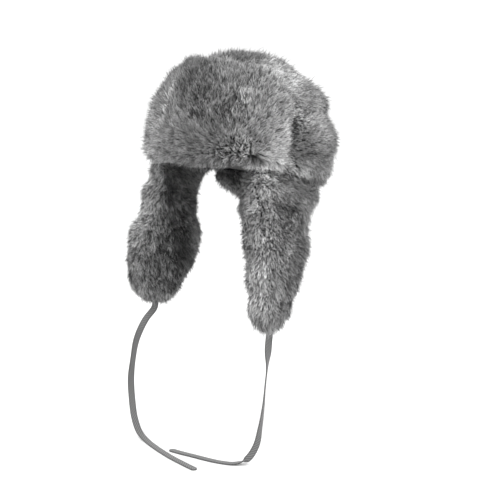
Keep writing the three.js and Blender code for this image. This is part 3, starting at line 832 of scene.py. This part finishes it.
# Partings and creases, partly the fur's own tone and partly painted shade: two ends and reach in mm, how
# many times lighter
PAINTED_SHADE_AND_TONE_LINES = [
    # Front flap
    ("parting, top", (-46, -114, -11), (-41, -126, -29), 3.5, 1.9),
    ("parting, upper", (-41, -126, -29), (-47, -128, -50), 3.5, 1.9),
    ("parting, low", (-47, -128, -50), (-46, -134, -95), 3.5, 1.8),
    ("beside the parting", (-34, -132, -40), (-36, -135, -84), 5, 0.62),
    ("dark mark", (64, -113, -23), (61, -122, -39), 3.5, 0.3),
    ("left half", (74, -105, -15), (90, -110, -84), 11, 1.35),
    ("top edge", (30, -94, 27), (62, -84, 18), 3.5, 1.3),
    ("bottom edge", (-5, -133, -124), (52, -127, -121), 6, 0.68),
    ("under the whorl", (58, -127, -104), (92, -104, -106), 3, 0.7),
    # Crown
    # Painted shade against the flap, at the recess edge and in the creases
    ("against the flap", (8, -75, 37), (60, -60, 30), 6, 0.75),
    ("recess edge", (105, -22, -40), (106, -22, -72), 6, 0.72),
    ("side crease", (119, -10, -92), (129, 16, -82), 3.5, 0.55),
    ("lip crease, start", (101, -41, -114), (104, -30, -121), 3, 0.3),
    ("lip crease, front", (104, -30, -121), (107, -19, -124), 3, 0.35),
    ("lip crease, back", (107, -19, -124), (110, 17, -126), 3, 0.6),
    # Left ear flap
    # Painted shade in the slit under the front flap's edge
    ("slit", (98, -86, -143), (104, -76, -136), 3.5, 0.04),
    ("specks", (115, -84, -166), (117, -84, -190), 3, 0.5),
    ("outer patch, front", (122, -62, -163), (125, -47, -168), 5, 0.4),
    ("outer patch, middle", (127, -38, -167), (129, -22, -167), 5, 0.45),
    ("outer patch, rear", (127, 0, -165), (127, 4, -185), 5, 0.65),
    ("rear edge, high", (135, -20, -228), (131, -13, -280), 5.5, 0.72),
    ("rear edge, low", (131, -13, -280), (121, -13, -322), 5.5, 0.68),
    # Right ear flap
    ("swirl", (-84, -40, -240), (-92, -45, -262), 5, 0.55),
    # Painted shade in the hollow
    ("hollow", (-80, -20, -232), (-76, -25, -245), 6, 0.6),
]
REST_WEIGHT = 0.12

# Spots over the zones, partly the fur's own tone and partly painted light and shade: place and reach in mm,
# how many times lighter
PAINTED_LIGHT_SHADE_AND_TONE_SPOTS = [
    # Front flap
    ("right top corner", (-60, -80, 21), 18, 0.25),
    ("top, right", (-38, -98, 18), 14, 0.42),
    ("right edge", (-80, -100, -18), 20, 0.42),
    ("upper right edge", (-66, -104, -6), 11, 0.7),
    ("right of the parting", (-62, -120, -47), 9, 0.55),
    ("top, left", (87, -60, 15), 14, 1.7),
    ("beside the parting, high", (-28, -131, -36), 8, 1.35),
    ("left of the middle", (66, -104, -6), 11, 1.4),
    ("left of the dark mark", (74, -107, -22), 8, 1.4),
    ("right of the dark mark", (52, -116, -17), 7, 1.35),
    ("upper middle", (-14, -116, 4), 10, 0.75),
    ("top, middle", (14, -100, 26), 10, 0.8),
    ("end, top", (112, -50, -27), 10, 1.35),
    ("low middle", (50, -134, -67), 14, 0.6),
    ("above the whorl", (92, -110, -80), 11, 1.4),
    ("end, middle", (119, -56, -73), 11, 0.65),
    ("end, low edge", (118, -54, -92), 8, 0.72),
    ("low right edge", (-66, -112, -116), 16, 1.6),
    ("below the whorl", (99, -97, -111), 10, 0.7),
    ("below the whorl, left", (106, -85, -116), 12, 0.4),
    ("bottom edge, left", (96, -94, -119), 8, 0.7),
    # Painted light over the whorl's shaded middle
    ("whorl's middle", (95, -105, -98), 9, 1.7),
    ("low left corner", (120, -61, -102), 8, 1.3),
    # Crown
    ("behind the flap, right", (-6, -62, 40), 11, 0.6),
    ("behind the flap, left", (46, -39, 40), 9, 0.6),
    ("top, left", (88, -8, 15), 14, 1.7),
    ("top, front left", (74, -25, 24), 8, 1.4),
    ("recess, top", (102, -16, -29), 14, 2.0),
    ("side, front", (116, -5, -38), 10, 1.35),
    ("side, low", (132, 14, -78), 16, 0.6),
    ("side, back", (124, 60, -50), 14, 0.75),
    ("side, back of the bulge", (127, 42, -84), 18, 0.55),
    ("lip, front", (107, -21, -106), 12, 1.9),
    ("lip, back", (127, 29, -104), 14, 0.65),
    # Painted light in the shaded crevice under the lip
    ("lip, low edge", (112, -4, -116), 10, 2.2),
    # Left ear flap
    # Painted light: under the whorl and the lip the flap is lightened where the front flap shades it
    ("under the whorl", (100, -70, -132), 12, 2.1),
    ("under the lip", (105, -34, -126), 10, 1.8),
    ("front edge", (106, -90, -237), 11, 0.5),
    ("low front", (108, -76, -274), 11, 1.6),
    # Painted light at the top, where the front flap shades it
    ("top", (104, -77, -138), 11, 1.6),
    ("top of the middle", (109, -60, -132), 12, 1.5),
    ("outer middle", (134, -24, -232), 8, 0.72),
    ("behind the ridge", (129, -35, -197), 11, 1.9),
    ("back edge", (125, 4, -195), 16, 0.72),
    ("upper ridge", (126, -76, -210), 17, 1.75),
    ("rear middle", (131, -2, -224), 11, 0.62),
    ("low middle", (121, -72, -260), 18, 2.05),
    ("low rear edge", (132, -10, -262), 13, 0.6),
    ("rear above the tip", (129, -16, -288), 9, 0.85),
    ("high front", (107, -91, -173), 8, 1.7),
    ("front of the ridge", (114, -85, -180), 9, 1.3),
    ("rear edge", (130, 4, -240), 9, 0.7),
    ("rear of the tip", (122, -14, -312), 14, 0.8),
    ("low front edge", (108, -60, -300), 12, 1.7),
    ("front of the tip", (112, -46, -320), 9, 1.4),
    # Right ear flap
    ("top of the front edge", (-112, -72, -165), 14, 1.7),
    # Painted light at the top of the edge and under the front flap's edge, where it shades the flap
    ("top of the edge", (-102, -70, -152), 17, 1.9),
    ("under the flap's edge", (-76, -74, -131), 7, 1.9),
    # Painted shade in the top hollow
    ("top hollow", (-74, -60, -155), 9, 0.35),
    ("top of the middle", (-75, -50, -181), 10, 0.55),
    # Partly painted shade: the back edges are darkened with the shade a head inside would cast
    ("back edge", (-74, -6, -240), 17, 0.22),
    ("low back edge", (-78, 6, -266), 18, 0.27),
]


def nearness(places, centre, reach):
    """1 at a centre in mm and less away from it, for places in metres."""
    return np.exp(-(norm(places * 1000 - np.array(centre), axis=1) / reach) ** 2)


def tones_with_painted_light_and_shade(places):
    """Tone, partly the fur's own and partly painted light and shade, and strength of ticking at places in
    the hat's frame, in metres.
    """
    weights = np.full(len(places), REST_WEIGHT)
    tones = np.zeros(len(places))
    ticking = np.full(len(places), REST_WEIGHT)
    for _, centre, reach, tone, ticks in PAINTED_LIGHT_SHADE_AND_TONE_ZONES:
        weight = nearness(places, centre, reach)
        weights += weight
        tones += weight * math.log(tone)
        ticking += weight * ticks
    tones = tones / weights
    for _, start, end, reach, tone in PAINTED_SHADE_AND_TONE_LINES:
        start, way = np.array(start, float), np.array(end, float) - np.array(start, float)
        share = np.clip((places * 1000 - start) @ way / (way @ way), 0, 1)
        tones += math.log(tone) * nearness(places, start + share[:, None] * way, reach)
    for _, centre, reach, tone in PAINTED_LIGHT_SHADE_AND_TONE_SPOTS:
        tones += math.log(tone) * nearness(places, centre, reach)
    return np.exp(tones), ticking / weights


def one_per_cell(places, size):
    """Indices of places in different cells of a grid, so that they spread evenly."""
    _, first = np.unique(np.floor(places / size).astype(np.int64), axis=0, return_index=True)
    return np.sort(first)


# Fuller, flatter and longer fur: place in the hat's frame, reach and rise in mm, share longer
FULLNESS = [
    # Front flap
    ("low right corner", (-62, -118, -120), 14, 4, 0.2),
    ("upper right", (-72, -92, 5), 24, -2, 0),
    ("right top corner", (-50, -86, 24), 9, 6, 0.4),
    ("upper tuft", (-84, -84, 0), 6, 4, 0.4),
    ("middle tuft", (-92, -88, -32), 6, 3, 0.4),
    ("low left edge", (96, -95, -115), 14, 2, 0.9),
    ("low left corner", (113, -68, -111), 14, 1, 0.3),
    # Crown
    ("back of the top", (68, 28, 32), 26, -6, 0),
    ("behind the flap's top", (5, -60, 41), 12, 3, 0),
    ("step behind the flap", (-12, -62, 38), 10, -5, 0),
    ("left of the back", (86, 58, 5), 14, 3, 0),
    ("first tuft", (80, 32, 22), 6, 4, 0.3),
    ("second tuft", (84, 52, 11), 6, 4, 0.3),
    ("third tuft", (92, 58, -1), 6, 4, 0.3),
    ("notch", (98, 60, -20), 8, -3, 0),
    ("over the ear", (112, 66, -46), 10, 3.5, 0.2),
    ("side, low", (110, 90, -72), 24, -6.5, 0),
    ("top of the back", (28, -36, 46), 18, 4, 0),
    ("behind the lip", (103, 60, -122), 14, 3, 1.0),
    ("lip, low edge", (108, -4, -122), 17, 1, 1.0),
    # Left ear flap
    ("tip", (112, -30, -328), 15, 2.5, 1.3),
    ("top of the rear", (114, 36, -134), 12, 2, 0.5),
    ("front shoulder", (100, -86, -128), 12, 6, 0.3),
    ("shoulder", (108, -66, -130), 14, 6, 0.3),
    ("middle rear", (124, 16, -208), 22, 7.5, 0.2),
    ("low rear", (124, 0, -302), 22, -4, 0),
    ("low front", (107, -58, -305), 16, 2.5, 0),
    ("front corner of the tip", (106, -49, -321), 12, 8, 1.2),
    ("rear corner of the tip", (118, -14, -325), 9, 3, 1.2),
    # Right ear flap
    ("tip", (-116, -52, -318), 14, 1, 0.6),
    ("low front corner", (-124, -56, -300), 14, 3, 0.4),
    ("front tuft", (-114, -70, -165), 7, 4, 0.4),
    ("low back", (-84, -3, -283), 20, 8, 0),
    ("low back edge", (-78, 6, -262), 17, 9, 0.1),
    # Neck flap
    ("left end", (96, 66, -128), 12, 4, 0.8),
]


def fullness_at(places):
    """How far the fur stands out, in metres, and how much longer it is, at places in the hat's frame."""
    rise, longer = np.zeros(len(places)), np.zeros(len(places))
    for _, centre, reach, height, share in FULLNESS:
        weight = nearness(places, centre, reach)
        rise += height / 1000 * weight
        longer += share * weight
    return rise, longer


class Locks:
    """Places, directions and lengths of one coat's locks."""

    def __init__(self, skin, part, lie_in, random):
        corners = skin.outer[skin.faces]
        sides = corners[:, 1:] - corners[:, :1]
        areas = norm(np.cross(sides[:, 0], sides[:, 1]), axis=1) / 2
        areas = areas * in_part(hat_axes(corners.mean(axis=1)), part)
        tries = int(areas.sum() * LOCKS_PER_AREA * TRIES_PER_LOCK)
        triangles = random.choice(len(areas), size=tries, p=areas / areas.sum())
        one, two = random.random(tries), random.random(tries)
        fold = one + two > 1
        one[fold], two[fold] = 1 - one[fold], 1 - two[fold]
        weights = np.stack([1 - one - two, one, two], axis=1)

        def blended(values):
            return np.einsum("ij,ijk->ik", weights, values[skin.faces[triangles]])
        outer, inner = blended(skin.outer), blended(skin.inner)
        normals = unit(blended(skin.normals))
        kept = one_per_cell(outer, LOCK_CELL)
        starts = outer[kept] + normals[kept] * OFF_SURFACE
        covers = [skin.others.ray_cast(Vector(start), Vector(normal), COVER_REACH)[0]
                  for start, normal in zip(starts, normals[kept])]
        kept = kept[[cover is None for cover in covers]]
        self.outer, self.inner, self.normals = outer[kept], inner[kept], normals[kept]
        self.hat_places = hat_axes(self.outer)
        self.count = len(kept)
        self.lie = self.combed(lie_in, random)

    def combed(self, lie_in, random):
        """The coat's lie laid on the skin, with broad and fine swirls."""
        lie = world_axes(lie_in(self.hat_places))
        self.lean = LEAST_LEAN + (1 - LEAST_LEAN) * smoothstep(norm(lie, axis=1), 0, UPRIGHT_BELOW)
        lie = unit(lie - self.normals * np.sum(lie * self.normals, axis=1, keepdims=True))
        swirl = uneven(self.outer, BROAD_SWIRL) + uneven(self.outer, FINE_SWIRL)
        swirl = swirl + random.normal(0, LOCK_SWIRL, self.count)
        beside = np.cross(self.normals, lie)
        return unit(lie * np.cos(swirl)[:, None] + beside * np.sin(swirl)[:, None])


def drawn_to_tufts(locks, tips, random):
    """The tips drawn towards the middle of their tuft, and a random value for each tuft."""
    centres = one_per_cell(locks.outer, TUFT_SPACING)
    finder = KDTree(len(centres))
    for index, lock in enumerate(centres):
        finder.insert(Vector(locks.outer[lock]), index)
    finder.balance()
    nearest = np.array([finder.find(Vector(place))[1] for place in locks.outer])
    tuft = centres[nearest]
    meeting = tips[tuft] + (locks.outer - locks.outer[tuft]) * TUFT_LOOSENESS
    close = norm(meeting - tips, axis=1) < TUFT_REACH
    pull = TUFT_PULL * np.clip(random.random(locks.count) * TUFT_PULL_SPREAD, 0, 1) * close
    return tips + (meeting - tips) * pull[:, None], random.random(len(centres))[nearest]


def lock_tips(skin, locks, random):
    """Where each lock ends: along its lie, close to the node's outer form, and freer where it hangs."""
    rise = norm(locks.outer - locks.inner, axis=1)
    waves = 1 + uneven(locks.outer, LENGTH_WAVES) + random.normal(0, LENGTH_SCATTER, locks.count)
    fuller, longer = fullness_at(locks.hat_places)
    length = HAIR_LENGTH * waves * np.clip(rise / FUR_DEPTH, SHORTEST_SHARE, 1) * (1 + longer)
    reach = np.sqrt(np.maximum(length ** 2 - rise ** 2, 1e-6)) * REACH_SHARE * locks.lean
    straight = locks.outer + locks.lie * reach[:, None]
    laid = np.array([skin.tree.find_nearest(Vector(place))[0] for place in straight])
    proud = STANDING_PROUD + uneven(locks.outer, LUMPS) + uneven(locks.outer, SMALL_LUMPS)
    proud = proud + random.normal(0, LOCK_HEIGHT, locks.count) + fuller
    hanging = smoothstep(-hat_axes(locks.lie)[:, 2] - locks.normals[:, 2], HANGING_FROM, 1)[:, None]
    free = FREE_SHARE + (HANGING_SHARE - FREE_SHARE) * hanging
    return laid + (straight - laid) * free + locks.normals * proud[:, None]


def hair_shapes(locks, tips, random):
    """Each hair's lock, the corners of its bent diamond, its way out, its direction and its width's."""
    count = locks.count * HAIRS_PER_LOCK
    owner = np.repeat(np.arange(locks.count), HAIRS_PER_LOCK)
    normals, lie = locks.normals[owner], locks.lie[owner]
    beside = np.cross(normals, lie)
    spread = random.normal(0, LOCK_WIDTH, (count, 2))
    offset = lie * spread[:, :1] + beside * spread[:, 1:]
    root = locks.inner[owner] + offset
    stray = random.random(count) < STRAY_SHARE
    scatter = random.normal(0, 1, (count, 3)) * np.where(stray, STRAY_SCATTER, HAIR_SCATTER)[:, None]
    tip = tips[owner] + offset * TIP_CLOSING + scatter
    tip += normals * (stray * STRAY_HEIGHT * random.random(count))[:, None]
    guard = random.random(count) < GUARD_SHARE
    tip += (normals + lie * GUARD_LEAN) * (guard * GUARD_HEIGHT * random.random(count) ** 1.5)[:, None]
    shortening = np.where(stray, 1, 1 - SHORTENING * random.random(count) ** 2)
    tip = root + (tip - root) * shortening[:, None]
    outward = np.sum((tip - root) * normals, axis=1)
    along = tip - root - normals * outward[:, None]
    bow = beside * random.normal(0, HAIR_BOW, count)[:, None]
    bend = normals * (BEND_RISE * np.maximum(outward, LEAST_RISE))[:, None] + along * BEND_ALONG
    middle = root + bend + bow
    direction = unit(tip - middle)
    flat = unit(np.cross(normals, direction))
    roll = random.uniform(-HAIR_ROLL, HAIR_ROLL, count)
    edge = unit(flat * np.cos(roll)[:, None] + np.cross(direction, flat) * np.sin(roll)[:, None])
    half = HAIR_WIDTH * random.uniform(1 - HAIR_WIDTH_SPREAD, 1 + HAIR_WIDTH_SPREAD, count)[:, None] / 2
    corners = np.stack([root, middle - edge * half, middle + edge * half, tip], axis=1)
    return owner, corners, normals, direction, flat


def hair_mesh(name, corners):
    """One mesh of two-triangle hairs, each with its own cell in the map for baking."""
    count = len(corners)
    triangles = (np.arange(count)[:, None, None] * 4 + np.array([[0, 1, 2], [1, 3, 2]])).reshape(-1, 3)
    mesh = bpy.data.meshes.new(name)
    mesh.vertices.add(count * 4)
    mesh.vertices.foreach_set("co", corners.astype(np.float32).ravel())
    mesh.loops.add(len(triangles) * 3)
    mesh.loops.foreach_set("vertex_index", triangles.astype(np.int32).ravel())
    mesh.polygons.add(len(triangles))
    mesh.polygons.foreach_set("loop_start", np.arange(0, len(triangles) * 3, 3, dtype=np.int32))
    mesh.update(calc_edges=True)
    mesh.polygons.foreach_set("use_smooth", np.ones(len(triangles), bool))
    across = int(math.ceil(math.sqrt(count)))
    cell = np.stack([np.arange(count) % across, np.arange(count) // across], axis=1)
    places = ((cell[:, None, :] + np.array(HAIR_CORNERS)[None]) / across).reshape(-1, 2)
    bake_map = mesh.uv_layers.new(name="OFBake")
    bake_map.data.foreach_set("uv", places[triangles.ravel()].astype(np.float32).ravel())
    return mesh


def make_fur(skin, name, part, lie_in, material, seed):
    """One coat, with what its material reads at each hair and normals that shade it as fine hair."""
    random = np.random.default_rng(seed)
    locks = Locks(skin, part, lie_in, random)
    tips, tuft_value = drawn_to_tufts(locks, lock_tips(skin, locks, random), random)
    owner, corners, normals, direction, flat = hair_shapes(locks, tips, random)
    count = len(owner)
    mesh = hair_mesh(name, corners)
    strand = random.random(count)
    streak = np.clip(0.5 + uneven(locks.outer, STREAKS), 0, 1)
    lock_value = STREAK_SHARE * streak + (1 - STREAK_SHARE) * random.random(locks.count)
    # Tone by zone: partly the fur's own and partly painted light and shade
    tone, ticking = tones_with_painted_light_and_shade(hat_axes(tips))
    hair_values = {"strand": strand, "lock": lock_value[owner], "tuft": tuft_value[owner],
                   "zone": tone[owner], "ticking": ticking[owner]}
    point_values = {key: np.repeat(values, 4) for key, values in hair_values.items()}
    point_values["along"] = np.tile([0, 0.5, 0.5, 1], count)
    for key, values in point_values.items():
        layer = mesh.attributes.new(key, "FLOAT", "POINT")
        layer.data.foreach_set("value", values.astype(np.float32))
    tilt = random.normal(0, LOCK_TILT, locks.count)[owner] + random.normal(0, HAIR_TILT, count)
    lit = unit(normals - direction * np.sum(normals * direction, axis=1, keepdims=True) * SHADING_TURN)
    lit = unit(lit + flat * tilt[:, None] + normals * SHADING_OUTWARD)
    mesh.normals_split_custom_set_from_vertices(np.repeat(lit, 4, axis=0).astype(np.float32))
    fur = placed(name, mesh)
    mesh.materials.append(material)
    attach(fur, "root")
    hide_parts(skin.node)


def finish_shell(name, material):
    """The shell's panel, rounded from its flat faces."""
    panel = placed(name + "_lining", nodes[name].data.copy())
    shape = bmesh.new()
    shape.from_mesh(panel.data)
    bmesh.ops.remove_doubles(shape, verts=shape.verts, dist=SAME_PLACE)
    bmesh.ops.join_triangles(shape, faces=shape.faces, angle_face_threshold=JOIN_ANGLE,
                             angle_shape_threshold=JOIN_SKEW)
    crease = shape.edges.layers.float.new("crease_edge")
    for edge in shape.edges:
        if edge.calc_face_angle(0) > RIM_ANGLE:
            edge[crease] = 1
    shape.to_mesh(panel.data)
    shape.free()
    panel.data.materials.clear()
    panel.data.materials.append(material)
    rounding = panel.modifiers.new("rounding", "SUBSURF")
    rounding.levels = rounding.render_levels = SHELL_ROUNDING
    panel.data.polygons.foreach_set("use_smooth", [True] * len(panel.data.polygons))
    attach(panel, "root")
    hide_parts(name)


make_camera()
make_studio()
tape = tie_material()
for tie_side in TIE_ROUTES:
    make_tie(tie_side, tape)
suede = suede_material()
for panel_side in ("left", "right", "top"):
    finish_shell("crown_shell_" + panel_side, suede)
underfur_and_painted_shade = hide_material()
ticked = fur_material()
skins = {}
for coat_number, (coat_name, coat_node, coat_part, coat_lie) in enumerate(COATS):
    if coat_node not in skins:
        skins[coat_node] = Skin(coat_node)
        make_hide(skins[coat_node], underfur_and_painted_shade)
    make_fur(skins[coat_node], coat_name, coat_part, coat_lie, ticked, FIRST_COAT_SEED + coat_number)
